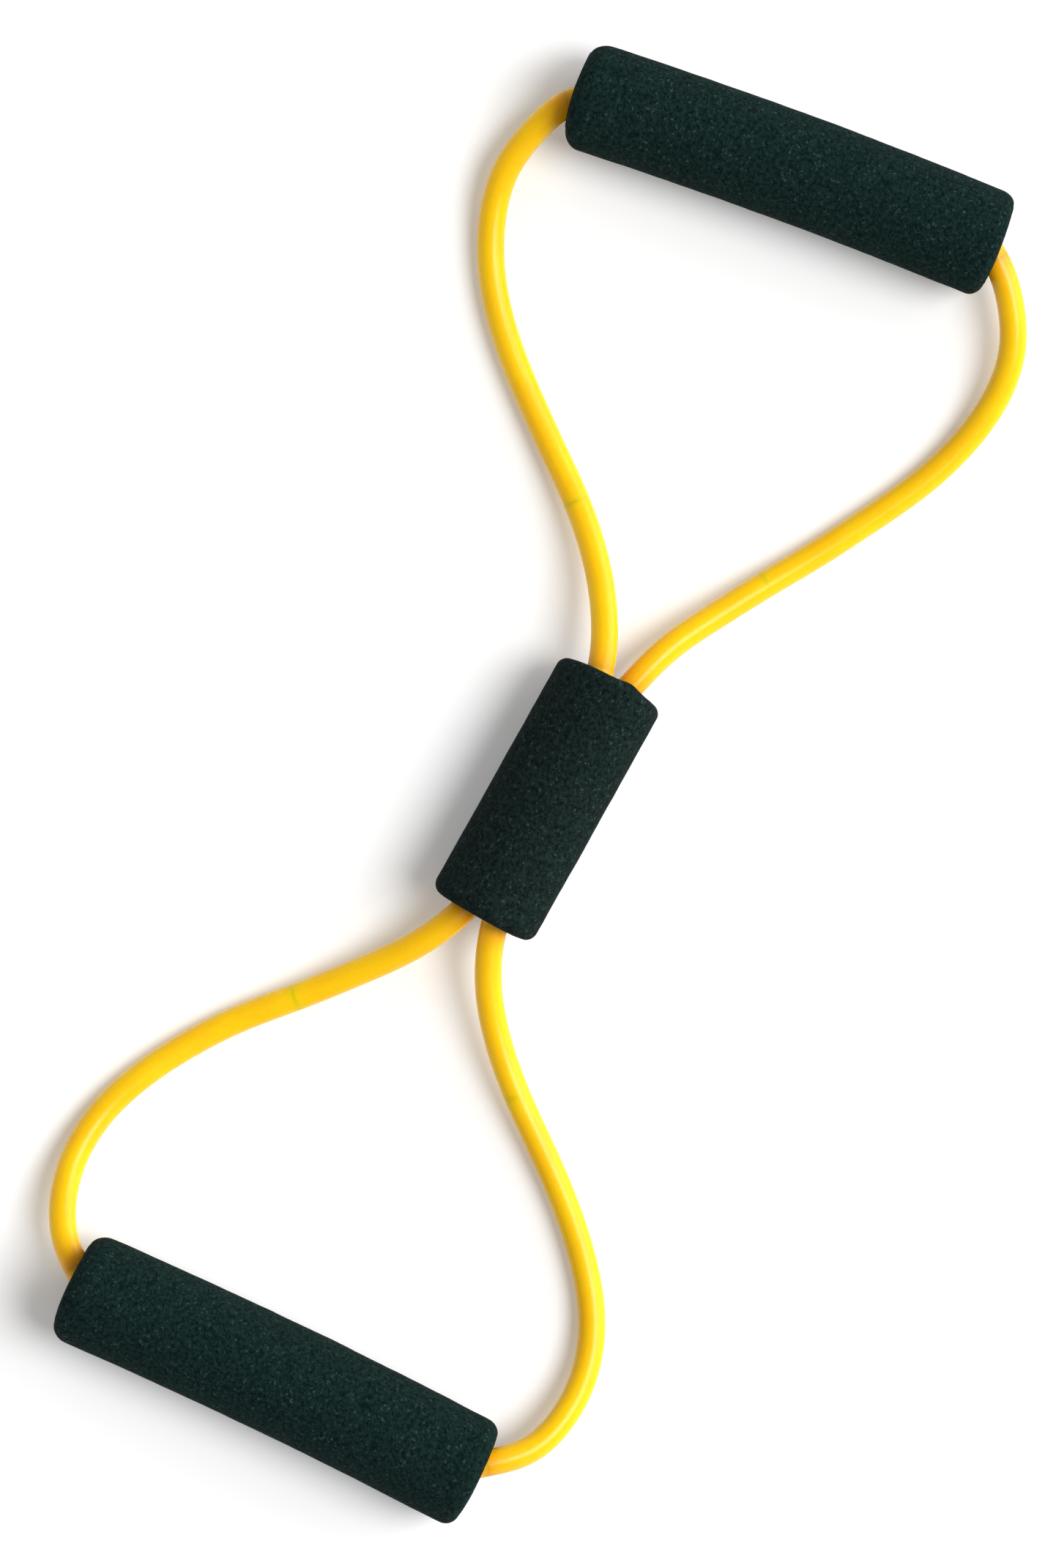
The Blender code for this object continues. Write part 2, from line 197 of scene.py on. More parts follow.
# The four open strands, each from the sleeve to its grip. The first NECK_POINTS points of a
# strand, counted from the sleeve's mouth, are its neck, and the rest are its span.
STRANDS = {
    "upper_left": (
        (0.0570, 0.0050, 0.0155),
        (0.0730, 0.0145, 0.0110),
        (0.0875, 0.0270, 0.0075),
        (0.1000, 0.0405, 0.0054),
        (0.1130, 0.0545, 0.0045),
        (0.1265, 0.0675, 0.0043),
        (0.1420, 0.0785, 0.0045),
        (0.1590, 0.0855, 0.0060),
        (0.1750, 0.0871, 0.0092),
        (0.1870, 0.0841, 0.0118),
    ),
    "upper_right": (
        (0.0560, -0.0160, 0.0126),
        (0.0720, -0.0260, 0.0092),
        (0.0870, -0.0365, 0.0064),
        (0.1020, -0.0475, 0.0048),
        (0.1175, -0.0580, 0.0043),
        (0.1335, -0.0680, 0.0043),
        (0.1500, -0.0755, 0.0048),
        (0.1670, -0.0795, 0.0068),
        (0.1825, -0.0785, 0.0096),
        (0.1955, -0.0725, 0.0122),
    ),
    "lower_left": (
        (-0.0580, 0.0200, 0.0126),
        (-0.0720, 0.0325, 0.0092),
        (-0.0870, 0.0475, 0.0064),
        (-0.0995, 0.0605, 0.0048),
        (-0.1130, 0.0720, 0.0043),
        (-0.1280, 0.0820, 0.0044),
        (-0.1440, 0.0890, 0.0050),
        (-0.1590, 0.0912, 0.0072),
        (-0.1725, 0.0892, 0.0102),
        (-0.1830, 0.0840, 0.0128),
    ),
    "lower_right": (
        (-0.0585, -0.0050, 0.0155),
        (-0.0740, -0.0145, 0.0110),
        (-0.0880, -0.0270, 0.0075),
        (-0.1005, -0.0405, 0.0054),
        (-0.1135, -0.0540, 0.0045),
        (-0.1275, -0.0660, 0.0043),
        (-0.1430, -0.0755, 0.0046),
        (-0.1595, -0.0800, 0.0066),
        (-0.1745, -0.0790, 0.0096),
        (-0.1870, -0.0735, 0.0124),
    ),
}
NECK_POINTS = 3
OPEN_STRETCHES = ("_neck", "_span")

# Lights: azimuth in the camera's picture, tilt from the vertical, spread and strength.
KEY_LIGHT = (math.radians(-5), math.radians(33), math.radians(32), 2.35)
SIDE_LIGHT = (math.radians(20), math.radians(66), math.radians(50), 1.7)

# The room's glow. Its walls turn into its ceiling between these sines of the height above the
# horizon.
WALL_TOP = (0.12, 0.45)
WALL_GLOW = 0.82
CEILING_GLOW = 0.30
FLOOR_GLOW = 0.16
FLOOR_HALF_SIDE = 30


# --- Camera ------------------------------------------------------------------------------


def add_camera():
    """A camera straight above the band, turned as in the photo."""
    data = bpy.data.cameras.new("camera")
    data.sensor_width = SENSOR
    data.lens = SENSOR * VIEW_DISTANCE / VIEW_LONG_SIDE
    data.clip_end = 10 * VIEW_DISTANCE
    camera = bpy.data.objects.new("camera", data)
    bpy.context.scene.collection.objects.link(camera)
    camera.location = (*VIEW_CENTRE, VIEW_PLANE_HEIGHT + VIEW_DISTANCE)
    camera.rotation_euler = (0, 0, VIEW_TURN)
    bpy.context.scene.camera = camera


add_camera()


# --- The route of the tube ---------------------------------------------------------------


def grip_end(name, side):
    """Where a grip lies: its middle, the way to its left along its axis, the way to the sleeve."""
    roll = JOINTS[name + "_roll"]
    left = Vector(roll["axis"]).normalized()
    to_sleeve = Vector((left.y, -left.x, 0)) * -side
    return {
        "name": name,
        "middle": Vector(roll["pos_m"]),
        "left": left,
        "to_sleeve": to_sleeve,
    }


def grip_run(end):
    """The tube's points inside a grip, from its left mouth to its right mouth."""

    def place(along, inward, up):
        return end["middle"] + end["left"] * along + end["to_sleeve"] * inward + Vector((0, 0, up))

    left_half = [place(*point) for point in GRIP_RUN]
    right_half = [place(-along, inward, up) for along, inward, up in GRIP_RUN[:-1]]
    return left_half + right_half[::-1]


def centre_run(half_run):
    """The points of one run inside the sleeve, from its upper mouth to its lower mouth."""
    left = Vector((-SLEEVE_AXIS.y, SLEEVE_AXIS.x, 0))
    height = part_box("centre_sleeve_foam")[1].z / 2

    def place(along, across, up):
        return SLEEVE_AXIS * along + left * across + Vector((0, 0, height + up))

    upper_half = [place(*point) for point in half_run]
    lower_half = [place(-along, -across, up) for along, across, up in half_run[:-1]]
    return upper_half + lower_half[::-1]


def strand_to_grip(name, sleeve_mouth):
    """A strand's neck and span, from the sleeve's mouth up to its grip."""
    points = [sleeve_mouth, *STRANDS[name]]
    return [
        (name + "_tube_neck", points[:NECK_POINTS]),
        (name + "_tube_span", points[NECK_POINTS:]),
    ]


def strand_from_grip(name, grip_mouth):
    """A strand's span and neck, from the grip's mouth down to the sleeve."""
    points = [grip_mouth, *reversed(STRANDS[name])]
    return [
        (name + "_tube_span", points[:-NECK_POINTS]),
        (name + "_tube_neck", points[-NECK_POINTS:]),
    ]


def loop_stretches(upper, lower):
    """The whole loop in order. Each stretch ends where the next one starts."""
    over = centre_run(CENTRE_RUN_OVER)[::-1]
    under = centre_run(CENTRE_RUN_UNDER)
    upper_run = grip_run(upper)
    lower_run = grip_run(lower)
    splice = len(lower_run) // 2
    return [
        ("centre_tube_over", over[:-1]),
        *strand_to_grip("upper_left", over[-1]),
        ("upper_grip_tube", upper_run[:-1]),
        *strand_from_grip("upper_right", upper_run[-1]),
        ("centre_tube_under", under[:-1]),
        *strand_to_grip("lower_left", under[-1]),
        ("lower_grip_tube_left", lower_run[:splice]),
        ("lower_grip_tube_right", lower_run[splice:-1]),
        *strand_from_grip("lower_right", lower_run[-1]),
    ]


def spline_through(points):
    """A smooth closed curve through points, by a periodic cubic spline.

    It is a function from a point's number and the fraction of the way to the next point.
    """
    places = np.array([tuple(point) for point in points])
    following = np.roll(places, -1, axis=0)
    steps = np.linalg.norm(following - places, axis=1)
    before = np.roll(steps, 1)
    count = len(places)
    rows = np.arange(count)
    system = np.zeros((count, count))
    system[rows, rows] = 2 * (before + steps)
    system[rows, (rows - 1) % count] = before
    system[rows, (rows + 1) % count] = steps
    slopes = (following - places) / steps[:, None]
    bends = np.linalg.solve(system, 6 * (slopes - np.roll(slopes, 1, axis=0)))

    def place(number, fraction):
        start = number % count
        end = (number + 1) % count
        rest = 1 - fraction
        line = rest * places[start] + fraction * places[end]
        curve = (rest**3 - rest) * bends[start] + (fraction**3 - fraction) * bends[end]
        return line + steps[start] ** 2 / 6 * curve

    return place


def tube_lines(stretches):
    """Every stretch's centre line as evenly spaced points, with the ways ahead and across there."""
    samples_per_point = 40
    place = spline_through([point for _, points in stretches for point in points])
    lines = {}
    first = 0
    across = None
    travelled_before = 0.0
    for name, points in stretches:
        last = first + len(points)
        numbers = [
            (number, sample / samples_per_point)
            for number in range(first, last)
            for sample in range(samples_per_point)
        ]
        fine = np.array([place(*number) for number in numbers] + [place(last, 0)])
        lengths = np.linalg.norm(np.diff(fine, axis=0), axis=1)
        travelled = np.concatenate(([0], np.cumsum(lengths)))
        # Central differences, with the curve carried on past each end, give the same ways
        # ahead at the end of one stretch as at the start of the next.
        sample_before = place(first - 1, 1 - 1 / samples_per_point)
        sample_after = place(last, 1 / samples_per_point)
        padded = np.vstack((sample_before, fine, sample_after))
        ahead = padded[2:] - padded[:-2]
        stops = np.linspace(0, travelled[-1], math.ceil(travelled[-1] / RING_SPACING) + 1)
        centres = np.column_stack([np.interp(stops, travelled, axis) for axis in fine.T])
        ways = np.column_stack([np.interp(stops, travelled, axis) for axis in ahead.T])
        rings = []
        for centre, way, stop in zip(centres, ways, stops):
            way = Vector(way).normalized()
            if across is None:
                across = way.orthogonal()
            across = (across - way * across.dot(way)).normalized()
            rings.append((Vector(centre), way, across.copy(), travelled_before + stop))
        lines[name] = rings
        travelled_before += travelled[-1]
        first = last
    return lines


UPPER = grip_end("upper", 1)
LOWER = grip_end("lower", -1)
LINES = tube_lines(loop_stretches(UPPER, LOWER))
HIDDEN_LINES = [line for name, line in LINES.items() if not name.endswith(OPEN_STRETCHES)]
MOUTHS = [ring[0] for line in HIDDEN_LINES for ring in (line[0], line[-1])]


# --- Mesh helpers ------------------------------------------------------------------------


def face_outward(shape):
    """Turn every face of a closed shape to the outside."""
    bmesh.ops.recalc_face_normals(shape, faces=shape.faces)
    if shape.calc_volume(signed=True) < 0:
        bmesh.ops.reverse_faces(shape, faces=shape.faces)


def add_piece(name, shape, material):
    """A smooth closed piece that stands for the CAD node of the same name."""
    face_outward(shape)
    mesh = bpy.data.meshes.new(name + "_look")
    shape.to_mesh(mesh)
    shape.free()
    mesh.shade_smooth()
    mesh.set_sharp_from_angle(angle=SHARP_ANGLE)
    mesh.materials.append(material)
    piece = bpy.data.objects.new(name + "_look", mesh)
    bpy.context.scene.collection.objects.link(piece)
    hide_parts(name)
    return piece


def join_rings(shape, ring, next_ring):
    """A band of faces from one ring of corners to the next."""
    count = len(ring)
    for side in range(count):
        after = (side + 1) % count
        shape.faces.new((ring[side], ring[after], next_ring[after], next_ring[side]))


def tube_shape(rings, bore_radius=None):
    """A tube swept through rings, with its bore if it has one.

    Each corner carries two values for the material: its place on the whole tube as if that were
    straight, and how much browner it is coloured near the nearest mouth of the foam, partly as
    wear where the mouth rubs it and partly as painted shade cast by the mouth.
    """
    shape = bmesh.new()
    tube_place = shape.verts.layers.float_vector.new("tube_place")
    rub_and_shade = shape.verts.layers.float.new("rub_and_shade")

    def add_ring(centre, ahead, across, travelled, radius):
        up = ahead.cross(across)
        from_mouth = min((centre - mouth).length for mouth in MOUTHS)
        ring = []
        for side in range(TUBE_SIDES):
            angle = 2 * math.pi * side / TUBE_SIDES
            x = radius * math.cos(angle)
            y = radius * math.sin(angle)
            corner = shape.verts.new(centre + across * x + up * y)
            corner[tube_place] = (x, y, travelled)
            # Painted shade of the foam's mouths, with their rub wear, fading away from them.
            corner[rub_and_shade] = math.exp(-from_mouth / RUB_AND_SHADE_REACH)
            ring.append(corner)
        return ring

    outer = [add_ring(*ring, TUBE_RADIUS) for ring in rings]
    for ring, next_ring in zip(outer, outer[1:]):
        join_rings(shape, ring, next_ring)
    if bore_radius is None:
        shape.faces.new(outer[0])
        shape.faces.new(outer[-1])
        return shape
    inner = [add_ring(*ring, bore_radius) for ring in rings]
    for ring, next_ring in zip(inner, inner[1:]):
        join_rings(shape, next_ring, ring)
    join_rings(shape, inner[0], outer[0])
    join_rings(shape, outer[-1], inner[-1])
    return shape


def turned_shape(outline, sides, hollow):
    """An outline of (along, radius) points turned about X. A hollow one closes on itself."""
    shape = bmesh.new()
    angles = [2 * math.pi * side / sides for side in range(sides)]
    rings = []
    for along, radius in outline:
        places = [(along, radius * math.cos(angle), radius * math.sin(angle)) for angle in angles]
        rings.append([shape.verts.new(place) for place in places])
    for ring, next_ring in zip(rings, rings[1:]):
        join_rings(shape, ring, next_ring)
    if hollow:
        join_rings(shape, rings[-1], rings[0])
    else:
        shape.faces.new(rings[0])
        shape.faces.new(rings[-1])
    return shape


def lay_along(shape, middle, axis):
    """Move a shape made about X to its place, with its Z still up."""
    sideways = Vector((-axis.y, axis.x, 0)).normalized()
    turn = Matrix((axis, sideways, axis.cross(sideways))).transposed().to_4x4()
    bmesh.ops.transform(shape, matrix=Matrix.Translation(middle) @ turn, verts=shape.verts)


def quarter_arc(centre, size, start_angle, steps):
    """Points on a quarter of an ellipse, as (along, radius) points. Size is across and along."""
    points = []
    for step in range(steps + 1):
        angle = math.radians(start_angle + 90 * step / steps)
        along = centre[0] + size[1] * math.sin(angle)
        radius = centre[1] + size[0] * math.cos(angle)
        points.append((along, radius))
    return points


# --- Materials ---------------------------------------------------------------------------


class Nodes:
    """Short calls that add linked nodes to one material."""

    # A mix node's colour sockets share their names with its other sockets.
    MIX_FACTOR = 0
    MIX_FIRST = 6
    MIX_SECOND = 7
    MIX_RESULT = 2

    def __init__(self, name, roughness):
        self.material = bpy.data.materials.new(name)
        self.material.use_nodes = True
        self.tree = self.material.node_tree
        self.shader = self.tree.nodes["Principled BSDF"]
        self.shader.inputs["Roughness"].default_value = roughness

    def add(self, kind, inputs=None, **settings):
        """A node of a kind, with its settings and with values or links in its inputs."""
        node = self.tree.nodes.new(kind)
        for key, value in settings.items():
            setattr(node, key, value)
        for key, value in (inputs or {}).items():
            self.put(node.inputs[key], value)
        return node

    def put(self, socket, value):
        """Link a socket to another node's output, or set its value."""
        if isinstance(value, bpy.types.NodeSocket):
            self.tree.links.new(value, socket)
        else:
            socket.default_value = value

    def noise(self, place, scale, detail=2.0, roughness=0.5):
        inputs = {"Vector": place, "Scale": scale, "Detail": detail, "Roughness": roughness}
        return self.add("ShaderNodeTexNoise", inputs).outputs["Fac"]

    def stretch(self, place, scale):
        """A place scaled along each axis. A pattern is drawn out along an axis with a low scale."""
        inputs = {0: place, 1: scale}
        return self.add("ShaderNodeVectorMath", inputs, operation="MULTIPLY").outputs[0]

    def spread(self, value, low, high, to_low=0.0, to_high=1.0):
        """A value's range from low to high, turned smoothly into another range."""
        inputs = {"Value": value, "From Min": low, "From Max": high, "To Min": to_low, "To Max": to_high}
        return self.add("ShaderNodeMapRange", inputs, interpolation_type="SMOOTHSTEP").outputs["Result"]

    def maths(self, operation, first, second):
        return self.add("ShaderNodeMath", {0: first, 1: second}, operation=operation).outputs[0]

    def mix(self, factor, first, second):
        """Two colours mixed."""
        node = self.add("ShaderNodeMix", data_type="RGBA")
        self.put(node.inputs[self.MIX_FACTOR], factor)
        self.put(node.inputs[self.MIX_FIRST], first)
        self.put(node.inputs[self.MIX_SECOND], second)
        return node.outputs[self.MIX_RESULT]

    def bump(self, height, distance, strength=1.0, normal=None):
        inputs = {"Height": height, "Distance": distance, "Strength": strength}
        if normal is not None:
            inputs["Normal"] = normal
        return self.add("ShaderNodeBump", inputs).outputs["Normal"]

    def object_place(self):
        return self.add("ShaderNodeTexCoord").outputs["Object"]

    def finish(self, **inputs):
        """The material, with these inputs of its shader. An underscore stands for a space."""
        for name, value in inputs.items():
            self.put(self.shader.inputs[name.replace("_", " ")], value)
        return self.material


def latex_material():
    """Yellow natural rubber: satin, translucent, dusty, and browner at the foam's mouths, partly rub
    wear and partly painted shade.
    """
    nodes = Nodes("latex", 0.34)
    place = nodes.add("ShaderNodeAttribute", attribute_name="tube_place").outputs["Vector"]
    rub_and_shade = nodes.add("ShaderNodeAttribute", attribute_name="rub_and_shade").outputs["Fac"]
    drift = nodes.noise(place, 45)
    draw_lines = nodes.noise(nodes.stretch(place, (1.0, 1.0, 0.03)), 900, 3)
    grain = nodes.noise(place, 1400, 4, 0.6)
    dust = nodes.spread(nodes.noise(place, 160, 5, 0.65), 0.60, 0.80)
    scuff_lines = nodes.noise(nodes.stretch(place, (1.0, 1.0, 0.22)), 420, 2)
    scuffs = nodes.maths("MULTIPLY", nodes.spread(scuff_lines, 0.74, 0.80), dust)
    colour = nodes.mix(nodes.spread(drift, 0.35, 0.65), LATEX_DEEP, LATEX_BRIGHT)
    colour = nodes.mix(nodes.maths("MULTIPLY", dust, 0.07), colour, LATEX_DUSTY)
    colour = nodes.mix(nodes.maths("MULTIPLY", scuffs, 0.7), colour, LATEX_SCUFFED)
    # Browner near the foam's mouths: painted shade cast by the mouths, with their rub wear.
    colour = nodes.mix(nodes.maths("MULTIPLY", rub_and_shade, 0.65), colour, LATEX_RUB_AND_SHADE)
    line_gloss = nodes.spread(draw_lines, 0.3, 0.7, 0.25, 0.30)
    roughness = nodes.maths("ADD", line_gloss, nodes.maths("MULTIPLY", dust, 0.10))
    relief = nodes.bump(draw_lines, 0.00004, 0.35)
    relief = nodes.bump(grain, 0.00003, 0.4, relief)
    return nodes.finish(
        Base_Color=colour,
        Roughness=roughness,
        Normal=relief,
        Subsurface_Weight=0.65,
        Subsurface_Radius=LATEX_SCATTER,
        Subsurface_Scale=LATEX_SCATTER_SCALE,
        IOR=1.5,
        Specular_IOR_Level=0.26,
    )


def foam_material(name, deep, light):
    """Dark green closed-cell foam: matte, mottled, with fine pores and a few pale cells."""
    nodes = Nodes(name, 0.9)
    place = nodes.object_place()
    mottle = nodes.spread(nodes.noise(place, 780, 4, 0.72), 0.31, 0.70)
    grain = nodes.spread(nodes.noise(place, 1500, 3, 0.65), 0.30, 0.70)
    cells = nodes.add("ShaderNodeTexVoronoi", {"Vector": place, "Scale": 1250})
    pits = nodes.spread(cells.outputs["Distance"], 0.10, 0.55)
    sparkle = nodes.add("ShaderNodeSeparateColor", {"Color": cells.outputs["Color"]}).outputs["Red"]
    flecks = nodes.maths("MULTIPLY", nodes.spread(sparkle, 0.88, 0.96), nodes.spread(grain, 0.35, 0.8))
    colour = nodes.mix(mottle, deep, light)
    colour = nodes.mix(nodes.maths("MULTIPLY", flecks, 0.65), colour, FOAM_FLECK)
    roughness = nodes.spread(grain, 0, 1, 0.96, 0.78)
    relief = nodes.bump(grain, 0.00025, 0.8)
    relief = nodes.bump(pits, 0.00015, 0.7, relief)
    return nodes.finish(Base_Color=colour, Roughness=roughness, Normal=relief, IOR=1.12)


def liner_material():
    """Pale extruded plastic with faint lengthwise lines."""
    nodes = Nodes("liner", 0.4)
    place = nodes.object_place()
    tone = nodes.noise(place, 60, 3)
    lines = nodes.noise(nodes.stretch(place, (1.0, 0.02, 1.0)), 1500, 3)
    colour = nodes.mix(nodes.spread(tone, 0.3, 0.7), LINER_DULL, LINER_PALE)
    roughness = nodes.spread(lines, 0.3, 0.7, 0.36, 0.50)
    return nodes.finish(Base_Color=colour, Roughness=roughness, Normal=nodes.bump(lines, 0.00004, 0.6))


def plug_material():
    """Cream moulded plastic with the soft grain of its mould."""
    nodes = Nodes("plug", 0.4)
    place = nodes.object_place()
    tone = nodes.noise(place, 180, 3)
    grain = nodes.noise(place, 2600, 3)
    colour = nodes.mix(nodes.spread(tone, 0.3, 0.7), PLUG_DULL, PLUG_PALE)
    roughness = nodes.spread(grain, 0.3, 0.7, 0.34, 0.46)
    return nodes.finish(Base_Color=colour, Roughness=roughness, Normal=nodes.bump(grain, 0.00003, 0.5))


LATEX = latex_material()
GRIP_FOAM = foam_material("grip_foam", FOAM_DEEP, FOAM_LIGHT)
SLEEVE_FOAM = foam_material("sleeve_foam", SLEEVE_DEEP, SLEEVE_LIGHT)
LINER = liner_material()
PLUG = plug_material()


# --- Cords -------------------------------------------------------------------------------


def blend_zone(rings):
    """Two level points between a stretch's ends, clear of its end near the sleeve and of its other end.
    """
    ends = (rings[0][0].copy(), rings[-1][0].copy())
    near, far = sorted(ends, key=lambda place: abs(place.x))
    near.z = 0
    far.z = 0
    way = (far - near).normalized()
    return near + way * NEAR_CLEARANCE, far - way * FAR_CLEARANCE


def add_strand(name, rings):
    """An open stretch of tube: a neck or a span."""
    piece = add_piece(name, tube_shape(rings), LATEX)
    start, end = blend_zone(rings)
    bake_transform(piece)
    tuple(start)
    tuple(end)
    centres = [ring[0] for ring in rings]
    length = sum((b - a).length for a, b in zip(centres, centres[1:]))
    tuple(centres[0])


for line_name, line_rings in LINES.items():
    if line_name.endswith(OPEN_STRETCHES):
        add_strand(line_name, line_rings)


def add_hidden_run(name, body, rings):
    """A stretch of tube inside foam, with its bore."""
    piece = add_piece(name, tube_shape(rings, TUBE_BORE_RADIUS), LATEX)
    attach(piece, body)


def splice_middle():
    """The middle of the tube's run inside the lower grip."""
    _, inward, up = GRIP_RUN[-1]
    return LOWER["middle"] + LOWER["to_sleeve"] * inward + Vector((0, 0, up))


def clear_of_collar(rings):
    """The rings that the splice plug's collar leaves room for."""
    room = PLUG_COLLAR_WIDTH / 2 + GAP
    return [ring for ring in rings if (ring[0] - splice_middle()).length > room]


add_hidden_run("centre_tube_over", "centre", LINES["centre_tube_over"])
add_hidden_run("centre_tube_under", "centre", LINES["centre_tube_under"])
add_hidden_run("upper_grip_tube", "upper_yoke", LINES["upper_grip_tube"])
add_hidden_run("lower_grip_tube_left", "lower_yoke", clear_of_collar(LINES["lower_grip_tube_left"]))
add_hidden_run("lower_grip_tube_right", "lower_yoke", clear_of_collar(LINES["lower_grip_tube_right"]))


# --- Foam, liners and plug ---------------------------------------------------------------


def foam_end(length, radius, bore_radius, corner):
    """The outline of a foam end at +X, out of its bore, over its domed face and round its corner."""
    face_inside = bore_radius + FOAM_LIP[0]
    face_outside = radius - corner[0]
    lip = quarter_arc((length / 2 - FOAM_LIP[1], face_inside), FOAM_LIP, 90, LIP_STEPS)
    face = []
    for step in range(1, FACE_STEPS):
        share = step / FACE_STEPS
        along = length / 2 - FOAM_END_DOME * share**2
        face.append((along, face_inside + share * (face_outside - face_inside)))
    corner_centre = (length / 2 - FOAM_END_DOME - corner[1], face_outside)
    rounding = quarter_arc(corner_centre, corner, 0, CORNER_STEPS)
    return lip[::-1] + face + rounding[::-1]


def straight_between(first, last, spacing):
    """Evenly spaced points between two points of an outline, without the two."""
    steps = max(1, round(abs(last[0] - first[0]) / spacing))
    return [
        tuple(a + (b - a) * step / steps for a, b in zip(first, last))
        for step in range(1, steps)
    ]


def foam_outline(length, radius, bore_radius, corners):
    """The closed outline of a foam tube. Corners are the one at +X and the one at -X."""
    front = foam_end(length, radius, bore_radius, corners[0])
    back_end = foam_end(length, radius, bore_radius, corners[1])
    back = [(-along, across) for along, across in reversed(back_end)]
    side = straight_between(front[-1], back[0], FOAM_RING_SPACING)
    bore = straight_between(back[-1], front[0], BORE_RING_SPACING)
    return front + side + back + bore


def roughen_skin(shape, bore_radius):
    """Sink the skin by uneven depths: long waves, lumps and grain. The bore stays true."""
    face_outward(shape)
    sunk = []
    for corner in shape.verts:
        if math.hypot(corner.co.y, corner.co.z) < bore_radius + FOAM_LIP[0] / 2:
            continue
        depth = 0
        for size, height in (FOAM_WAVE, FOAM_LUMP, FOAM_GRAIN):
            depth += height * (0.5 + 0.5 * noise.noise((corner.co + FOAM_SEED) / size))
        sunk.append((corner, corner.co - corner.normal * depth))
    for corner, place in sunk:
        corner.co = place


def ease_ends(shape, length, radius, falls):
    """Let the ends of a foam tube fall away from their middles towards their sides."""
    for corner in shape.verts:
        from_middle = abs(corner.co.x) - (length / 2 - END_REACH)
        near_end = max(0, from_middle / END_REACH)
        across = corner.co.y / radius
        fall = falls[0 if corner.co.x > 0 else 1][0 if across > 0 else 1]
        corner.co.x -= math.copysign(fall * near_end * across**2, corner.co.x)


def bulge_sleeve_end(shape):
    """Push out the sleeve's end at +X where a strand leaves it."""
    place, width, height = SLEEVE_BULGE
    for corner in shape.verts:
        near_end = max(0, (corner.co.x - (SLEEVE_LENGTH / 2 - END_REACH)) / END_REACH)
        corner.co.x += height * near_end * math.exp(-(((corner.co.y - place) / width) ** 2))


def settle_skin(shape, length, radius, bore_radius, bow=(0, 0)):
    """Spread the skin a little sideways and bow it. The bore stays true."""
    for corner in shape.verts:
        from_axis = math.hypot(corner.co.y, corner.co.z)
        skin_share = max(0, min(1, (from_axis - bore_radius) / (radius - bore_radius)))
        half_lengths = 2 * corner.co.x / length
        sideways = corner.co.y * (FOAM_SPREAD - 1) + bow[0] * (half_lengths**2 - bow[1])
        corner.co.y += skin_share * sideways


def add_foam(name, body, shape, material, middle, axis):
    """A finished piece of foam, laid in its place."""
    lay_along(shape, middle, axis)
    piece = add_piece(name, shape, material)
    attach(piece, body)


def add_sleeve():
    """The foam sleeve over the crossing strands."""
    name = "centre_sleeve_foam"
    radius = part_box(name)[1].z / 2
    outline = foam_outline(SLEEVE_LENGTH, radius, SLEEVE_BORE_RADIUS, SLEEVE_CORNERS)
    shape = turned_shape(outline, FOAM_SIDES, hollow=True)
    roughen_skin(shape, SLEEVE_BORE_RADIUS)
    ease_ends(shape, SLEEVE_LENGTH, radius, SLEEVE_FALLS)
    bulge_sleeve_end(shape)
    settle_skin(shape, SLEEVE_LENGTH, radius, SLEEVE_BORE_RADIUS)
    add_foam(name, "centre", shape, SLEEVE_FOAM, Vector((0, 0, radius)), SLEEVE_AXIS)


def add_grip_foam(end):
    """The foam of a grip."""
    body = end["name"] + "_grip"
    radius = end["middle"].z
    outline = foam_outline(GRIP_LENGTH, radius, GRIP_BORE_RADIUS, GRIP_CORNERS)
    foam = turned_shape(outline, FOAM_SIDES, hollow=True)
    roughen_skin(foam, GRIP_BORE_RADIUS)
    ease_ends(foam, GRIP_LENGTH, radius, GRIP_FALLS[end["name"]])
    settle_skin(foam, GRIP_LENGTH, radius, GRIP_BORE_RADIUS, GRIP_BOW[end["name"]])
    add_foam(body + "_foam", body, foam, GRIP_FOAM, end["middle"], end["left"])


def liner_outline():
    """The closed outline of a plain rigid tube with eased edges."""
    outer = GRIP_BORE_RADIUS - GAP
    inner = outer - LINER_WALL
    half_length = GRIP_LENGTH / 2 - LINER_RECESS
    front = []
    for radius, start_angle in ((inner + LINER_EDGE, 90), (outer - LINER_EDGE, 0)):
        centre = (half_length - LINER_EDGE, radius)
        arc = quarter_arc(centre, (LINER_EDGE, LINER_EDGE), start_angle, EDGE_STEPS)
        front += arc[::-1]
    back = [(-along, radius) for along, radius in reversed(front)]
    side = straight_between(front[-1], back[0], LINER_RING_SPACING)
    bore = straight_between(back[-1], front[0], LINER_RING_SPACING)
    return front + side + back + bore


def add_grip_liner(end):
    """The rigid tube inside a grip's foam."""
    body = end["name"] + "_grip"
    liner = turned_shape(liner_outline(), LINER_SIDES, hollow=True)
    lay_along(liner, end["middle"], end["left"])
    piece = add_piece(body + "_liner", liner, LINER)
    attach(piece, body)


def plug_outline():
    """The plug's outline from tip to tip: three barbs, the collar and three barbs."""
    barb_radius = TUBE_BORE_RADIUS - GAP
    half_length = PLUG_LENGTH / 2
    shoulder = PLUG_COLLAR_WIDTH / 2
    barb_pitch = (half_length - shoulder) / PLUG_BARBS
    half = [(half_length, PLUG_NOSE_RADIUS / 2), (half_length - PLUG_EASE, PLUG_NOSE_RADIUS)]
    for barb in reversed(range(PLUG_BARBS)):
        foot = shoulder + (barb + PLUG_BARB_GAP) * barb_pitch
        half += [
            (foot + PLUG_EASE, barb_radius),
            (foot, barb_radius - PLUG_EASE / 2),
            (foot, PLUG_ROOT_RADIUS),
        ]
    half += [
        (shoulder, PLUG_ROOT_RADIUS),
        (shoulder, TUBE_RADIUS - PLUG_EASE),
        (shoulder - PLUG_EASE, TUBE_RADIUS),
    ]
    return half + [(-along, radius) for along, radius in reversed(half)]


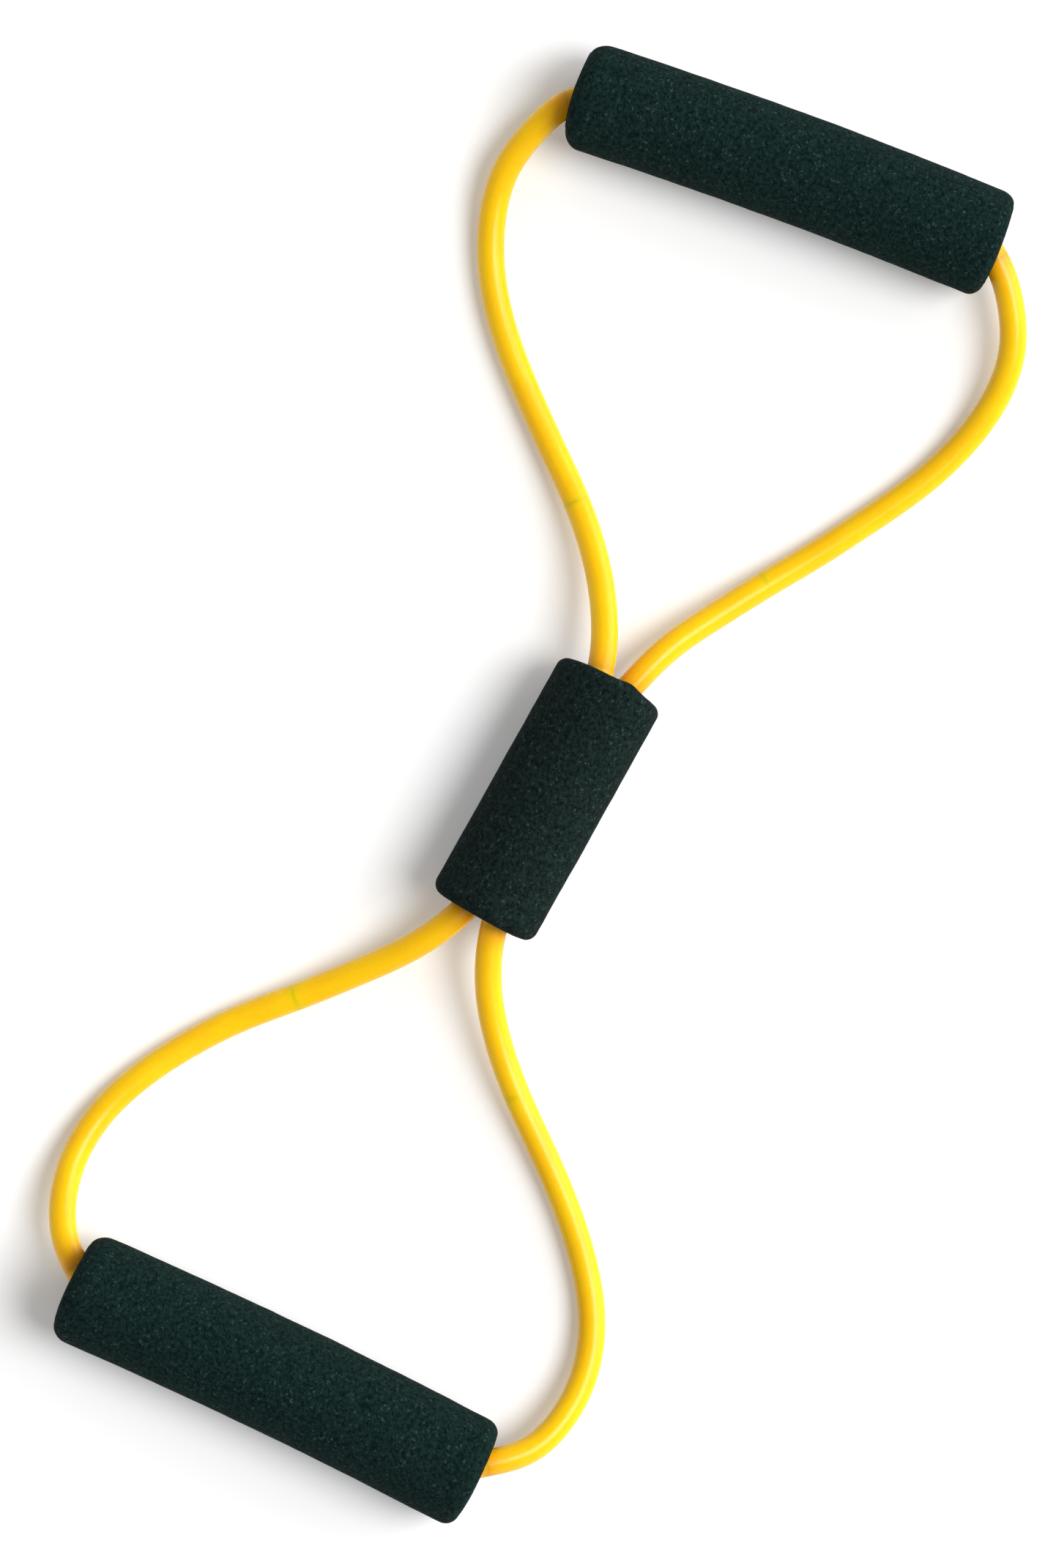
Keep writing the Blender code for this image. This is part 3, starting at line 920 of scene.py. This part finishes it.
def add_splice_plug():
    """The barbed plug that joins the tube's ends, hidden in the lower grip."""
    shape = turned_shape(plug_outline(), PLUG_SIDES, hollow=False)
    lay_along(shape, splice_middle(), LOWER["left"])
    piece = add_piece("splice_plug", shape, PLUG)
    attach(piece, "lower_yoke")


add_sleeve()
for grip in (UPPER, LOWER):
    add_grip_foam(grip)
    add_grip_liner(grip)
add_splice_plug()


# --- Light and floor ---------------------------------------------------------------------


def add_floor():
    """A plain white floor that glows a little, so that shadows on it stay pale."""
    nodes = Nodes("floor", 0.9)
    material = nodes.finish(
        Base_Color=FLOOR_WHITE,
        Emission_Color=WHITE,
        Emission_Strength=FLOOR_GLOW,
    )
    mesh = bpy.data.meshes.new("floor")
    signs = ((-1, -1), (1, -1), (1, 1), (-1, 1))
    corners = [(x * FLOOR_HALF_SIDE, y * FLOOR_HALF_SIDE, 0) for x, y in signs]
    mesh.from_pydata(corners, [], [(0, 1, 2, 3)])
    mesh.materials.append(material)
    floor = bpy.data.objects.new("floor", mesh)
    bpy.context.scene.collection.objects.link(floor)


def add_soft_light(name, azimuth, tilt, spread, strength):
    """A broad, far, soft light, from an azimuth in the camera's picture."""
    data = bpy.data.lights.new(name, "SUN")
    data.angle = spread
    data.energy = strength
    light = bpy.data.objects.new(name, data)
    bpy.context.scene.collection.objects.link(light)
    heading = VIEW_TURN + azimuth
    level = math.sin(tilt)
    way = Vector((level * math.cos(heading), level * math.sin(heading), math.cos(tilt)))
    light.location = way
    light.rotation_euler = way.to_track_quat("Z", "Y").to_euler()


def add_world():
    """A pale room: bright walls low down, and a dimmer ceiling."""
    world = bpy.data.worlds.new("world")
    world.use_nodes = True
    tree = world.node_tree
    direction = tree.nodes.new("ShaderNodeTexCoord").outputs["Generated"]
    height = tree.nodes.new("ShaderNodeSeparateXYZ")
    tree.links.new(direction, height.inputs[0])
    glow = tree.nodes.new("ShaderNodeMapRange")
    glow.interpolation_type = "SMOOTHSTEP"
    glow.inputs["From Min"].default_value = WALL_TOP[0]
    glow.inputs["From Max"].default_value = WALL_TOP[1]
    glow.inputs["To Min"].default_value = WALL_GLOW
    glow.inputs["To Max"].default_value = CEILING_GLOW
    tree.links.new(height.outputs["Z"], glow.inputs["Value"])
    background = tree.nodes["Background"]
    background.inputs["Color"].default_value = WHITE
    tree.links.new(glow.outputs["Result"], background.inputs["Strength"])
    bpy.context.scene.world = world


add_floor()
add_world()
add_soft_light("key", *KEY_LIGHT)
add_soft_light("side", *SIDE_LIGHT)
bpy.context.scene.view_settings.view_transform = "Standard"
